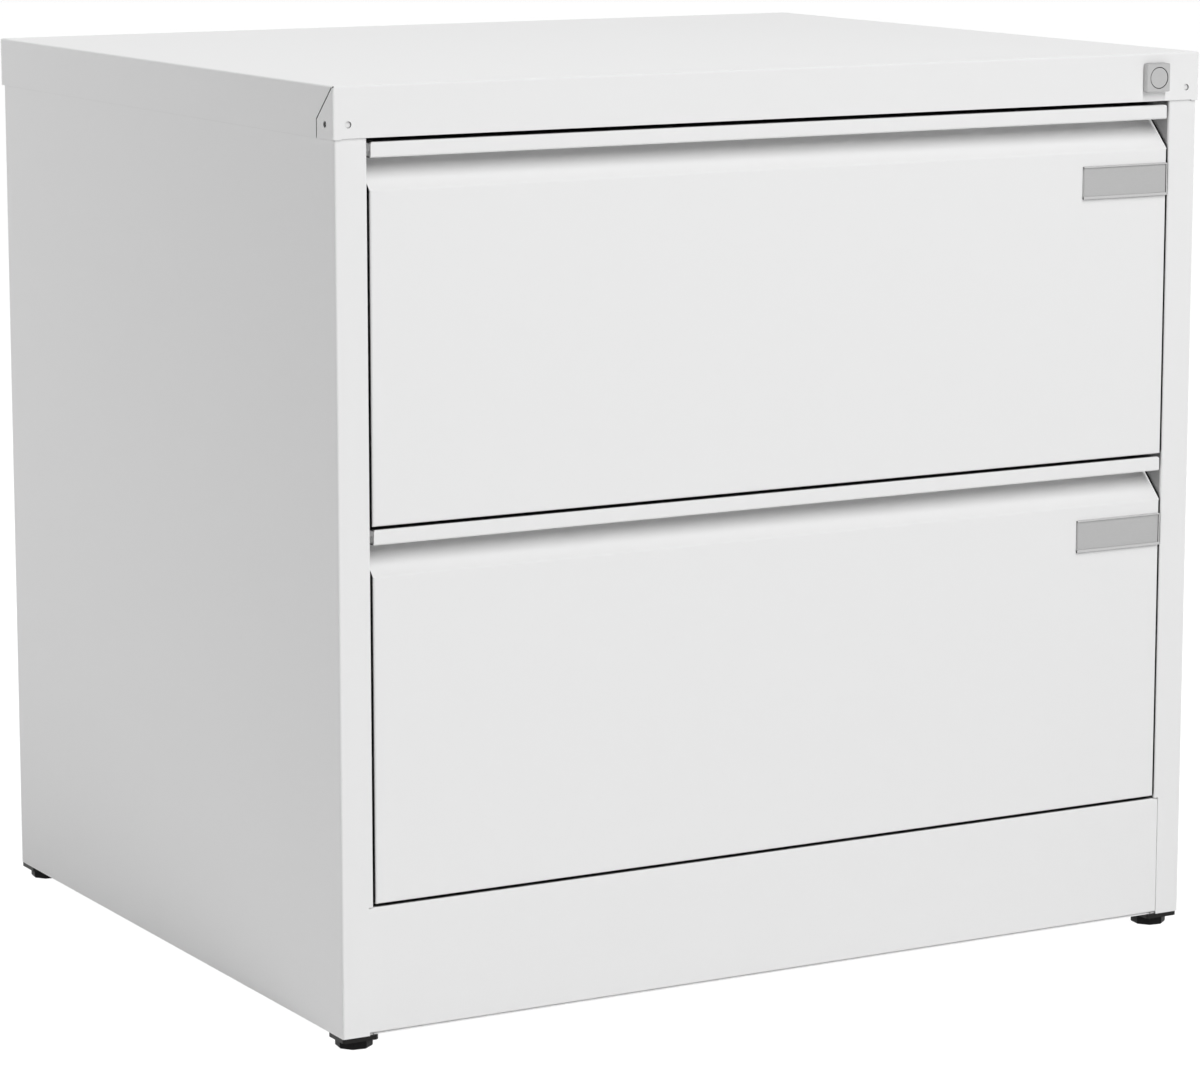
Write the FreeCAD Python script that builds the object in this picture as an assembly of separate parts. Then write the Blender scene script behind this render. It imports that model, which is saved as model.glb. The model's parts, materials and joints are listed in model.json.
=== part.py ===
# Steel filing cabinet with two wide drawers on ball runners, each for two rows of hanging files.
# Millimetres. X points right, Y from the front to the back and Z up.
# The origin lies on the floor, under the middle of the space that the cabinet and its lock take.
import FreeCAD, Part
import math
import os
from FreeCAD import Vector

# Whole cabinet
overall_width = 762.0
overall_depth = 622.0
overall_height = 710.0
foot_height = 10.6
drawer_count = 2

# Folded sheet and fits
sheet = 1.0
fold = 0.6
seat_gap = 0.1
overrun = 5.0
touching = 1e-6

# Lid
lid_flange = 38.4
lid_fold = 0.6
lid_front_gap = 0.15
lid_side_gap = 0.55
lid_back_gap = 0.5
lid_rest_gap = 0.3
lid_tab_length = 26.0
lid_tab_height = 13.3
lid_tab_nose = 1.5
lid_tab_rise = 36.9
lid_seam = 1.1
lid_relief_radius = 0.7
lid_relief_length = 6.0
lid_corner_reach = 7.0
lid_corner_drop = 0.7
lid_hole_radius = 2.5
lid_hole_inset = 12.2
lid_hole_height = 10.6
tab_hole_radius = 2.4

# Side panels with their front stiles
stile_width = 25.9
stile_return = 28.6
plinth_stile_width = 21.95
rear_flange = 16.0

# Plinth, base and rails
plinth_height = 96.8
plinth_lift = 1.4
plinth_lap = 10.0
plinth_notch_gap = 0.4
plinth_top_flange = 25.0
plinth_bottom_flange = 10.0
tray_flange = 20.0
tray_front_setback = 2.4
tray_corner_notch = 3.0
top_rail_lift = 0.5
top_rail_flange = 25.0
middle_rail_height = 36.0
middle_rail_flange = 12.5
middle_rail_setback = 0.4
back_panel_inset = 1.5
back_panel_flange = 14.0

# Uprights that carry the runners
upright_crown = 40.0
upright_foot = 14.0
upright_inset = 25.0
upright_top_gap = 12.0

# Back panel screws
screw_head_across = 5.5
screw_head_height = 1.1
screw_radius = 1.9
screw_length = 6.0
screw_hole_gap = 0.1
screw_height_shares = (0.08, 0.5, 0.92)

# Levelling feet
foot_inset = 17.0
foot_across = 26.0
foot_sides = 8
foot_turn = 15.0
foot_chamfer = 1.0
foot_plate_width = 29.3
foot_plate_depth = 26.2
foot_plate_thickness = 3.6
foot_plate_inset = 0.5
foot_plate_corner = 2.0
stud_radius = 4.0
stud_length = 30.0
stud_fit = 0.08
stud_hole_gap = 0.8

# Drawer fronts
front_gap = 2.5
front_side_gap = 1.8
front_proud = 0.4
grip_height = 35.0
grip_depth = 26.0
grip_angle = 45.0
lip_height = 11.3
lip_hem = 6.0
lip_corner = 2.0
lip_end_cut = 0.9

# Drawer boxes
box_lift = 6.0
box_top_drop = 3.35
inner_front_drop = 7.35
inner_front_inset = 1.2
side_rail_width = 9.0
side_rail_drop = 8.0
side_bottom_flange = 15.0
floor_upturn = 12.0
back_top_flange = 12.0
box_fit = 0.3
box_tail = 6.0
file_bar_width = 14.0
file_bar_height = 18.0
file_bar_tab_width = 8.0
file_bar_tab_height = 6.0
file_bar_tab_drop = 11.0
file_bar_tab_reach = 2.2
file_bar_slot_gap = 0.4

# Label holders
holder_width = 80.3
holder_height = 25.4
holder_proud = 1.8
holder_drop = 10.7
holder_end_gap = 0.45
holder_back = 0.5
holder_wall = 0.7
holder_lip = 0.6
holder_top_lip = 0.9
holder_bottom_lip = 2.0
holder_stop = 1.0
card_fit = 0.15

# Telescopic ball runners
runner_length = 550.0
runner_setback = 35.0
runner_thickness = 19.0
runner_height = 53.0
runner_centre = 75.0
rail_sheet = 1.2
rail_fold = 0.5
race_lead = 0.1
race_fit = 0.05
ball_radius = 2.0
cage_sheet = 0.5
cage_gap = 0.5
cage_length = 250.0
cage_fold = 0.2
cage_hole_gap = 0.15
balls_per_row = 2
ball_sides = 8

# Lock
lock_width = 21.7
lock_height = 22.2
lock_proud = 6.1
lock_bevel = 0.8
lock_side_inset = 43.1
lock_drop = 19.0
lock_neck_radius = 9.0
lock_neck_length = 14.0
lock_hole_gap = 0.3
barrel_radius = 8.0
barrel_fit = 0.05
barrel_bevel = 0.2
barrel_groove = 0.45
barrel_groove_depth = 1.5
barrel_shank = 8.0
shank_fit = 0.05
nut_across = 24.0
nut_thickness = 4.0
cam_sheet = 2.0
cam_hub_radius = 7.0
cam_tip_radius = 4.0
cam_throw = 10.0
cam_start = 45.0
pin_radius = 2.0
pin_length = 5.0
pin_slot_gap = 0.5

# Bar that locks both drawers
bar_sheet = 2.0
bar_width = 12.0
bar_side_gap = 1.4
bar_setback = 11.0
bar_tail = 10.0
arm_height = 13.0
arm_wall = 4.0
arm_gap = 1.5
arm_slot_gap = 0.8
hook_height = 12.0
hook_gap = 1.0
hook_reach = 12.0
hook_drop = 14.0
catch_sheet = 1.5
catch_height = 12.0
catch_centre = 150.0
catch_reach = 14.5
catch_base = 14.0
catch_gap = 0.8
guide_height = 14.0
guide_foot = 4.0
guide_fit = 0.35
guide_height_shares = (0.25, 0.8)

# Planes that the sizes above lead to
half_width = overall_width / 2
front = (lock_proud - overall_depth) / 2
rear = front + overall_depth
body_bottom = foot_height
lid_bottom = overall_height - lid_flange
body_half = half_width - sheet - lid_side_gap
wall_half = body_half - sheet
stile_front = front + sheet + lid_front_gap
stile_edge = body_half - stile_width
return_end = stile_front + stile_return
body_back = rear - sheet - lid_back_gap
body_top = overall_height - sheet - lid_rest_gap
plinth_top = body_bottom + plinth_height
plinth_edge = body_half - plinth_stile_width

# Drawer fronts share the height between the plinth and the lid
front_height = (lid_bottom - plinth_top - (drawer_count + 1) * front_gap) / drawer_count
front_pitch = front_height + front_gap
front_half = stile_edge - front_side_gap
face = stile_front - front_proud
crease = front_height - grip_height
front_back = face + grip_depth + sheet

# Runners stand behind the stiles, and the drawer boxes fit between them
runner_back = stile_edge + sheet - seat_gap
runner_front = stile_front + runner_setback
runner_rear = runner_front + runner_length
box_half = runner_back - runner_thickness - seat_gap
box_front = front_back + seat_gap + sheet + seat_gap
box_back = runner_rear - box_tail

# Ball races: a round groove between two short slopes at 45 degrees
race_radius = ball_radius + race_fit
race_setback = rail_sheet * math.tan(math.pi / 8)
race_slope = (race_radius + race_setback + race_lead) * math.cos(math.pi / 4)
race_half = race_slope + race_setback + race_lead
race_rise = race_radius * math.sqrt(2) - race_slope
swell_slope = race_slope + rail_sheet * (math.sqrt(2) - 1)

# Levels of the runner's three members, from its middle line, and depths from its back
middle_web = rail_sheet + cage_gap + cage_sheet + cage_gap
outer_race = middle_web + rail_sheet + rail_fold + race_half
inner_race = runner_thickness - rail_sheet - rail_fold - race_half
middle_level = runner_height / 2 - rail_sheet - race_radius - race_rise
outer_level = middle_level + 2 * race_rise
inner_level = middle_level - rail_sheet - 2 * race_rise
outer_ball_level = middle_level + race_rise
inner_ball_level = inner_level + race_rise

# Lock and lock bar
lock_x = half_width - lock_side_inset
lock_z = overall_height - lock_drop
pin_swing = cam_throw * math.sin(math.radians(cam_start))
top_rail_front = stile_front + seat_gap
neck_end = front + lock_neck_length
cam_front = neck_end + seat_gap
cam_back = cam_front + cam_sheet
arm_front = cam_back + arm_gap
bar_x = stile_edge + sheet + bar_side_gap
bar_front = stile_front + bar_setback
bar_back = bar_front + bar_width
hook_front = return_end + hook_gap
catch_front = hook_front + bar_sheet + catch_gap


def side_view(y, z):
    return Vector(0, y, z)


def plan_view(x, y):
    return Vector(x, y, 0)


def front_view(x, z):
    return Vector(x, 0, z)


def block(x0, x1, y0, y1, z0, z1):
    return Part.makeBox(x1 - x0, y1 - y0, z1 - z0, Vector(x0, y0, z0))


def rod(centre, radius, direction, length):
    return Part.makeCylinder(radius, length, centre, direction)


def polygon(points, view):
    corners = [view(*point) for point in points]
    return Part.Face(Part.makePolygon(corners + corners[:1]))


def moved(shape, x=0, y=0, z=0):
    copy = shape.copy()
    copy.translate(Vector(x, y, z))
    return copy


def along_x(section, start, end):
    return moved(section, x=start).extrude(Vector(end - start, 0, 0))


def along_y(section, start, end):
    return moved(section, y=start).extrude(Vector(0, end - start, 0))


def along_z(section, start, end):
    return moved(section, z=start).extrude(Vector(0, 0, end - start))


def mirrored(shape):
    return shape.mirror(Vector(0, 0, 0), Vector(1, 0, 0))


def both_sides(shape):
    return shape.fuse(mirrored(shape))


def group(solids):
    return Part.makeCompound(solids)


# Section of a folded sheet. The path follows one skin, and the metal lies to the right of it.
# A corner may carry its own inside radius as a third number, and 0 leaves it sharp.
def folded(path, view, thickness=sheet, radius=fold):
    points = [corner[:2] for corner in path]
    legs = []
    for (u0, v0), (u1, v1) in zip(points, points[1:]):
        length = math.hypot(u1 - u0, v1 - v0)
        legs.append(((u1 - u0) / length, (v1 - v0) / length))

    def across(point, leg):
        return (point[0] + leg[1] * thickness, point[1] - leg[0] * thickness)

    def line(start, end):
        if math.dist(start, end) > touching:
            edges.append(Part.makeLine(view(*start), view(*end)))

    def arc(start, middle, end):
        edges.append(Part.Arc(view(*start), view(*middle), view(*end)).toShape())

    edges = []
    near = points[0]
    far = across(near, legs[0])
    line(near, far)
    for corner, before, after in zip(path[1:-1], legs, legs[1:]):
        turn = math.atan2(before[0] * after[1] - before[1] * after[0],
                          before[0] * after[0] + before[1] * after[1])
        inside = corner[2] if len(corner) > 2 else radius
        if inside == 0:
            lean = thickness * math.tan(turn / 2)
            far_corner = across(corner, before)
            far_corner = (far_corner[0] + before[0] * lean, far_corner[1] + before[1] * lean)
            line(near, corner[:2])
            line(far, far_corner)
            near = corner[:2]
            far = far_corner
            continue
        outside = inside + thickness
        near_radius, far_radius = (inside, outside) if turn > 0 else (outside, inside)
        setback = near_radius * math.tan(abs(turn) / 2)
        start = (corner[0] - before[0] * setback, corner[1] - before[1] * setback)
        end = (corner[0] + after[0] * setback, corner[1] + after[1] * setback)
        reach = -math.copysign(near_radius, turn)
        centre = (start[0] + before[1] * reach, start[1] - before[0] * reach)
        span = math.dist(centre, corner[:2])
        aim = ((corner[0] - centre[0]) / span, (corner[1] - centre[1]) / span)
        line(near, start)
        arc(start, (centre[0] + aim[0] * near_radius, centre[1] + aim[1] * near_radius), end)
        far_start = across(start, before)
        far_end = across(end, after)
        line(far, far_start)
        arc(far_start, (centre[0] + aim[0] * far_radius, centre[1] + aim[1] * far_radius), far_end)
        near = end
        far = far_end
    near_end = points[-1]
    far_end = across(near_end, legs[-1])
    line(near, near_end)
    line(far, far_end)
    line(near_end, far_end)
    return Part.Face(Part.Wire(Part.__sortEdges__(edges)))


# What rounding a square corner takes off. The signs point from the corner into the metal.
def corner_waste(u, v, sign_u, sign_v, radius, view):
    outer = (u - sign_u * overrun, v - sign_v * overrun)
    inner = (u + sign_u * radius, v + sign_v * radius)
    square = polygon([outer, (inner[0], outer[1]), inner, (outer[0], inner[1])], view)
    normal = view(1, 0).cross(view(0, 1))
    disc = Part.Face(Part.Wire(Part.makeCircle(radius, view(*inner), normal)))
    return square.cut(disc)


# Carcass

def lid_block(inset, bottom, radius):
    shape = block(-half_width + inset, half_width - inset, front + inset, rear - inset,
                  bottom, overall_height - inset)
    bends = [edge for edge in shape.Edges if edge.BoundBox.ZMax > bottom + touching]
    return shape.makeFillet(radius, bends)


def make_lid():
    lid = lid_block(0, lid_bottom, lid_fold + sheet)
    lid = lid.cut(lid_block(sheet, lid_bottom - overrun, lid_fold))
    # The front flange turns the corner as a tab, and a fine seam parts it from the side flange.
    # A small relief at the corner lets the three bends meet there.
    seam_path = [(front + lid_tab_length, lid_bottom - overrun),
                 (front + lid_tab_length, lid_bottom + lid_tab_height),
                 (front + lid_tab_nose, lid_bottom + lid_tab_rise)]
    seam = along_x(folded(seam_path, side_view, lid_seam, 0), half_width - overrun, half_width + overrun)
    front_hole = rod(Vector(half_width - lid_hole_inset, front - overrun, lid_bottom + lid_hole_height),
                     lid_hole_radius, Vector(0, 1, 0), 2 * overrun)
    reach = lid_relief_length / math.sqrt(3)
    corner = Vector(half_width - reach, front + reach, overall_height - reach)
    relief = rod(corner, lid_relief_radius, Vector(1, -1, 1), 2 * lid_relief_length)
    lid = lid.cut(both_sides(group([seam, relief, tab_hole(), front_hole])))
    # Between the corners the front flange ends a little higher
    inner = half_width - lid_corner_reach
    lid = lid.cut(block(-inner, inner, front - overrun, front + overrun, lid_bottom - overrun,
                        lid_bottom + lid_corner_drop))
    return lid.cut(lock_hole())


# Hole through the corner tab and the side panel behind it
def tab_hole():
    start = Vector(wall_half - overrun, front + lid_tab_length / 2, lid_bottom + lid_hole_height)
    return rod(start, tab_hole_radius, Vector(1, 0, 0), 3 * overrun)


def lock_hole():
    start = Vector(lock_x, front - overrun, lock_z)
    return rod(start, lock_neck_radius + lock_hole_gap, Vector(0, 1, 0), lock_neck_length)


def back_screw_places():
    x = body_half - rear_flange / 2
    span = body_top - body_bottom
    return [(side * x, body_bottom + share * span) for side in (-1, 1) for share in screw_height_shares]


def back_screw_holes():
    return group([rod(Vector(x, body_back - screw_length, z), screw_radius + screw_hole_gap,
                      Vector(0, 1, 0), screw_length + overrun) for x, z in back_screw_places()])


# Side panel with the front stile and its return folded in one piece, and a rear flange
def make_side_panel():
    flange_back = body_back - sheet - seat_gap
    path = [(body_half - rear_flange, flange_back),
            (body_half, flange_back),
            (body_half, stile_front),
            (stile_edge, stile_front),
            (stile_edge, return_end)]
    panel = along_z(folded(path, plan_view), body_bottom, body_top)
    # Beside the plinth the stile is narrower and has no return, so the plinth can pass behind it
    notch = block(stile_edge - overrun, plinth_edge, stile_front - overrun, return_end + overrun,
                  body_bottom - overrun, plinth_top + plinth_notch_gap)
    return panel.cut(notch).cut(tab_hole()).cut(back_screw_holes())


# The lock bar's arm reaches through the return of the right stile
def arm_window():
    low = lock_z - pin_swing - arm_height / 2 - arm_slot_gap
    high = lock_z + pin_swing + arm_height / 2 + arm_slot_gap
    return block(stile_edge - overrun, bar_x, arm_front - arm_slot_gap,
                 arm_front + bar_sheet + arm_slot_gap, low, high)


def make_back_panel():
    half = body_half - back_panel_inset
    top = body_top - seat_gap
    path = [(body_back - back_panel_flange, top),
            (body_back, top),
            (body_back, body_bottom + seat_gap)]
    panel = along_x(folded(path, side_view), -half, half)
    # The top flange stops short of the side panels' rear flanges
    inner = body_half - rear_flange - seat_gap
    corner = block(inner, half + overrun, body_back - back_panel_flange - overrun, body_back - sheet,
                   top - back_panel_flange, top + overrun)
    return panel.cut(both_sides(corner)).cut(back_screw_holes())


def make_plinth_panel():
    face_y = stile_front + sheet + seat_gap
    bottom = body_bottom + plinth_lift
    path = [(face_y + plinth_bottom_flange, bottom),
            (face_y, bottom),
            (face_y, plinth_top),
            (face_y + plinth_top_flange, plinth_top)]
    half = plinth_edge + plinth_lap
    return along_x(folded(path, side_view), -half, half)


def foot_places():
    x = body_half - foot_inset
    near = stile_front + foot_inset
    far = body_back - foot_inset
    return {"front_left": (-x, near), "front_right": (x, near),
            "rear_left": (-x, far), "rear_right": (x, far)}


# Floor of the carcass, with its sides and rear edge turned up
def make_base_tray():
    half = wall_half - seat_gap
    start = stile_front + tray_front_setback
    end = body_back - 2 * sheet - 2 * seat_gap
    top = body_bottom + tray_flange
    notch = sheet + tray_corner_notch
    bottom = body_bottom + sheet
    across = [(-half + sheet, top), (-half + sheet, bottom), (half - sheet, bottom), (half - sheet, top)]
    along = [(start, bottom), (end - sheet, bottom), (end - sheet, top)]
    tray = along_y(folded(across, front_view), start, end - notch)
    tray = tray.fuse(along_x(folded(along, side_view), -half + notch, half - notch)).removeSplitter()
    for x, y in foot_places().values():
        tray = tray.cut(rod(Vector(x, y, body_bottom - overrun), stud_radius + stud_hole_gap,
                            Vector(0, 0, 1), 2 * overrun))
    return tray


def make_top_rail():
    bottom = lid_bottom + top_rail_lift
    path = [(top_rail_front + top_rail_flange, bottom),
            (top_rail_front, bottom),
            (top_rail_front, body_top),
            (top_rail_front + top_rail_flange, body_top)]
    half = stile_edge - seat_gap
    return along_x(folded(path, side_view), -half, half).cut(lock_hole())


# Rail between the drawers, behind the gap of their fronts
def make_middle_rail():
    top = plinth_top + front_gap + front_pitch + box_lift - front_gap
    start = return_end + middle_rail_setback
    path = [(start + middle_rail_flange, top - middle_rail_height),
            (start, top - middle_rail_height),
            (start, top),
            (start + middle_rail_flange, top)]
    half = wall_half - seat_gap
    return along_x(folded(path, side_view), -half, half)


# Hat-shaped upright between the side panel and the runners
def make_upright(start):
    foot_skin = wall_half - seat_gap - sheet
    crown_skin = runner_back + seat_gap
    end = start + upright_crown
    path = [(foot_skin, start - upright_foot),
            (foot_skin, start),
            (crown_skin, start),
            (crown_skin, end),
            (foot_skin, end),
            (foot_skin, end + upright_foot)]
    bottom = body_bottom + tray_flange + seat_gap
    return along_z(folded(path, plan_view), bottom, lid_bottom - upright_top_gap)


def hexagon(x, z, across):
    corner = across / math.sqrt(3)
    turns = [math.pi * index / 3 for index in range(6)]
    return polygon([(x + corner * math.cos(turn), z + corner * math.sin(turn)) for turn in turns], front_view)


def make_back_screws():
    start = body_back + seat_gap
    head = along_y(hexagon(0, 0, screw_head_across), start, start + screw_head_height)
    shank = rod(Vector(0, start - screw_length, 0), screw_radius, Vector(0, 1, 0), screw_length)
    screw = head.fuse(shank)
    return group([moved(screw, x, 0, z) for x, z in back_screw_places()])


# Feet

def make_foot_plates():
    plates = []
    for x, y in foot_places().values():
        side = math.copysign(1, x)
        outer = side * (body_half - foot_plate_inset)
        inner = outer - side * foot_plate_width
        if y < 0:
            near = stile_front + foot_plate_inset
            far = near + foot_plate_depth
        else:
            far = body_back - foot_plate_inset
            near = far - foot_plate_depth
        plate = block(min(outer, inner), max(outer, inner), near, far,
                      body_bottom - foot_plate_thickness, body_bottom)
        uprights = [edge for edge in plate.Edges if edge.BoundBox.ZLength > foot_plate_thickness / 2]
        plate = plate.makeChamfer(foot_plate_corner, uprights)
        stud_hole = rod(Vector(x, y, 0), stud_radius + stud_fit, Vector(0, 0, 1), body_bottom + overrun)
        plates.append(plate.cut(stud_hole))
    return group(plates)


def make_foot(x, y):
    top = body_bottom - foot_plate_thickness - seat_gap
    corner = foot_across / 2 / math.cos(math.pi / foot_sides)
    turns = [math.radians(foot_turn) + math.pi * (2 * index + 1) / foot_sides for index in range(foot_sides)]
    outline = [(x + corner * math.cos(turn), y + corner * math.sin(turn)) for turn in turns]
    pad = along_z(polygon(outline, plan_view), 0, top)
    rim = [edge for edge in pad.Edges if edge.BoundBox.ZMax < touching]
    pad = pad.makeChamfer(foot_chamfer, rim)
    return pad.fuse(rod(Vector(x, y, top - touching), stud_radius, Vector(0, 0, 1), stud_length))


# Ball runners. A section is drawn by depth from the runner's back and level from its middle line.

def runner_view(depth, level):
    return Vector(runner_back - depth, 0, level)


def race(depth, level, slope, side, step, radius):
    ends = [(depth - step * slope, side * level), (depth + step * slope, side * level)]
    tip = (depth, side * (level + slope * math.copysign(1, radius)), abs(radius))
    return [ends[0] + (0,), tip, ends[1] + (0,)]


# Member on the cabinet: its path follows the inner skin, with the races sunk outwards
def outer_section():
    lip = outer_race + race_half
    path = [(lip, outer_level)]
    path += race(outer_race, outer_level, race_slope, 1, -1, race_radius)
    path += [(rail_sheet, outer_level), (rail_sheet, -outer_level)]
    path += race(outer_race, outer_level, race_slope, -1, 1, race_radius)
    path += [(lip, -outer_level)]
    return folded(path, runner_view, rail_sheet, rail_fold)


# Middle member: each flange has a race sunk from outside for the outer balls,
# and one sunk from inside for the inner balls. Its path follows the inner skin.
def middle_section():
    level = middle_level - rail_sheet
    lip = inner_race + race_half
    web = middle_web + rail_sheet
    path = [(lip, level)]
    path += race(inner_race, level, race_slope, 1, -1, race_radius)
    path += race(outer_race, level, swell_slope, 1, -1, -race_radius)
    path += [(web, level), (web, -level)]
    path += race(outer_race, level, swell_slope, -1, 1, -race_radius)
    path += race(inner_race, level, race_slope, -1, 1, race_radius)
    path += [(lip, -level)]
    return folded(path, runner_view, rail_sheet, rail_fold)


# Member on the drawer: its races are sunk from outside. Its path follows the inner skin.
def inner_section():
    level = inner_level - rail_sheet
    lip = inner_race - race_half
    web = runner_thickness - rail_sheet
    path = [(lip, -level)]
    path += race(inner_race, level, swell_slope, -1, 1, -race_radius)
    path += [(web, -level), (web, level)]
    path += race(inner_race, level, swell_slope, 1, -1, -race_radius)
    path += [(lip, level)]
    return folded(path, runner_view, rail_sheet, rail_fold)


def make_member(section, height):
    return moved(along_y(section, runner_front, runner_rear), z=height)


# Cage: a thin channel that holds two rows of balls a steady distance apart
def make_cage(web, end, level, depth, height):
    skin = level - cage_sheet / 2
    path = [(end, skin), (web + cage_sheet, skin), (web + cage_sheet, -skin), (end, -skin)]
    start = (runner_front + runner_rear - cage_length) / 2
    cage = along_y(folded(path, runner_view, cage_sheet, cage_fold), start, start + cage_length)
    pitch = cage_length / balls_per_row
    solids = []
    for index in range(balls_per_row):
        y = start + (index + 1 / 2) * pitch
        x = runner_back - depth
        hole = along_z(ring(x, y, ball_radius + cage_hole_gap), -runner_height / 2, runner_height / 2)
        cage = cage.cut(hole)
        solids += [make_ball(Vector(x, y, side * level)) for side in (-1, 1)]
    return moved(group([cage] + solids), z=height)


def ring(x, y, radius):
    turns = [2 * math.pi * (index + 1 / 2) / ball_sides for index in range(ball_sides)]
    return polygon([(x + radius * math.cos(turn), y + radius * math.sin(turn)) for turn in turns], plan_view)


# Ball with flat facets, lofted through level rings that lie on its sphere
def make_ball(centre):
    rings = []
    for index in range(ball_sides // 2):
        climb = math.pi * ((index + 1 / 2) * 2 / ball_sides - 1 / 2)
        level_ring = ring(centre.x, centre.y, ball_radius * math.cos(climb)).OuterWire
        rings.append(moved(level_ring, z=centre.z + ball_radius * math.sin(climb)))
    return Part.makeLoft(rings, True, True)


def make_outer_cage(height):
    web = rail_sheet + cage_gap
    return make_cage(web, outer_race + race_half, outer_ball_level, outer_race, height)


def make_inner_cage(height):
    web = inner_race - race_half - cage_gap - cage_sheet
    return make_cage(web, inner_race + race_half, inner_ball_level, inner_race, height)


# Drawer front: one folded sheet makes the bottom edge, the face, the sloped grip and the lip
def make_drawer_front(bottom):
    top = bottom + front_height
    bend = bottom + crease
    slope_end = bend + grip_depth * math.tan(math.radians(grip_angle))
    path = [(front_back, bottom),
            (face, bottom),
            (face, bend),
            (face + grip_depth, slope_end),
            (face + grip_depth, top - sheet),
            (face + sheet, top - sheet),
            (face + sheet, top - lip_height + sheet),
            (face + sheet + lip_hem, top - lip_height + sheet)]
    panel = along_x(folded(path, side_view), -front_half, front_half)
    # The face's ends are turned back as far as the grip's slope lets them
    end_path = [(front_half, front_back), (front_half, face), (front_half - lip_hem, face)]
    end = along_z(folded(end_path, plan_view), bottom, top)
    above_slope = polygon([(face - overrun, bend), (face, bend), (face + grip_depth, slope_end),
                           (front_back + overrun, slope_end), (front_back + overrun, top + overrun),
                           (face - overrun, top + overrun)], side_view)
    end = end.cut(along_x(above_slope, front_half - overrun - lip_hem, front_half + overrun))
    panel = panel.fuse(both_sides(end))
    edge = fold + sheet
    waste = along_x(corner_waste(face, bottom, 1, 1, edge, side_view), -half_width, half_width)
    end_waste = along_z(corner_waste(front_half, face, -1, 1, edge, plan_view), bottom - overrun, bend)
    # The lip stops short of the face's ends and its corners are round
    lip_end = front_half - lip_end_cut
    lip_waste = along_y(corner_waste(lip_end, top, -1, -1, lip_corner, front_view),
                        face - overrun, face + grip_depth)
    beyond_lip = block(lip_end, front_half + overrun, face - overrun, face + grip_depth,
                       top - lip_height - touching, top + overrun)
    lip_waste = lip_waste.fuse(beyond_lip)
    return panel.cut(waste).cut(both_sides(end_waste)).cut(both_sides(lip_waste)).removeSplitter()


def box_levels(bottom):
    return bottom + box_lift, bottom + crease - box_top_drop


# Flat panel behind the front, slotted for the file bar
def make_inner_front(bottom):
    half = front_half - sheet - inner_front_inset
    start = front_back + seat_gap
    top = bottom + front_height - inner_front_drop
    panel = block(-half, half, start, start + sheet, bottom + sheet + seat_gap, top)
    return panel.cut(file_bar_slot(bottom, start))


def file_bar_slot(bottom, start):
    top = box_levels(bottom)[1] - file_bar_tab_drop
    half = file_bar_tab_width / 2 + file_bar_slot_gap
    return block(-half, half, start - overrun, start + overrun,
                 top - file_bar_tab_height - file_bar_slot_gap, top + file_bar_slot_gap)


# Side of the drawer box: its top edge is folded over as a rail for the files
def make_drawer_side(bottom):
    low, high = box_levels(bottom)
    path = [(box_half - side_rail_width, high - side_rail_drop),
            (box_half - side_rail_width, high),
            (box_half, high),
            (box_half, low),
            (box_half - side_bottom_flange, low)]
    return along_y(folded(path, front_view), box_front, box_back)


def make_drawer_floor(bottom):
    low = box_levels(bottom)[0] + sheet + seat_gap
    start = box_front + seat_gap
    end = box_back - sheet - seat_gap
    path = [(end, low + floor_upturn), (end, low), (start, low), (start, low + floor_upturn)]
    half = box_half - sheet - box_fit
    return along_x(folded(path, side_view), -half, half)


def make_drawer_back(bottom):
    low, high = box_levels(bottom)
    path = [(box_back - back_top_flange, high - side_rail_drop),
            (box_back, high - side_rail_drop),
            (box_back, low + sheet + seat_gap)]
    half = box_half - sheet - box_fit
    panel = along_x(folded(path, side_view), -half, half)
    return panel.cut(file_bar_slot(bottom, box_back - sheet))


# Bar between the two rows of files, with a tab at each end in a slot of the box
def make_file_bar(bottom):
    high = box_levels(bottom)[1]
    half = file_bar_width / 2
    low = high - file_bar_height
    path = [(-half, low), (-half, high), (half, high), (half, low)]
    start = box_front + seat_gap
    end = box_back - sheet - back_top_flange - seat_gap
    bar = along_y(folded(path, front_view), start, end)
    tab_top = high - file_bar_tab_drop
    # Each tab stands on a closed end of the bar
    rear_tip = box_back - sheet + file_bar_tab_reach - sheet
    for end_face, tip in ((start, start - file_bar_tab_reach), (end, rear_tip)):
        inward = sheet if end_face == start else -sheet
        cap = block(-half + sheet, half - sheet, min(end_face, end_face + inward),
                    max(end_face, end_face + inward), low, high - sheet)
        tab = block(-file_bar_tab_width / 2, file_bar_tab_width / 2, min(end_face, tip), max(end_face, tip),
                    tab_top - file_bar_tab_height, tab_top)
        bar = bar.fuse(cap).fuse(tab)
    return bar.removeSplitter()


def holder_box(bottom):
    right = front_half - holder_end_gap
    top = bottom + crease - holder_drop
    return right - holder_width, right, top - holder_height, top


# Label holder: a moulded channel, open at its left end
def make_label_holder(bottom):
    left, right, low, top = holder_box(bottom)
    back = face - seat_gap
    tip = face - holder_proud
    lip = tip + holder_lip
    floor = back - holder_back
    outline = [(back, low), (back, top), (tip, top), (tip, top - holder_top_lip),
               (lip, top - holder_top_lip), (lip, top - holder_wall), (floor, top - holder_wall),
               (floor, low + holder_wall), (lip, low + holder_wall), (lip, low + holder_bottom_lip),
               (tip, low + holder_bottom_lip), (tip, low)]
    holder = along_x(polygon(outline, side_view), left, right)
    return holder.fuse(block(right - holder_stop, right, tip, back, low, top)).removeSplitter()


def make_label_card(bottom):
    left, right, low, top = holder_box(bottom)
    return block(left + holder_wall, right - holder_stop - card_fit,
                 face - holder_proud + holder_lip + card_fit, face - seat_gap - holder_back - card_fit,
                 low + holder_wall + card_fit, top - holder_wall - card_fit)


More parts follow.
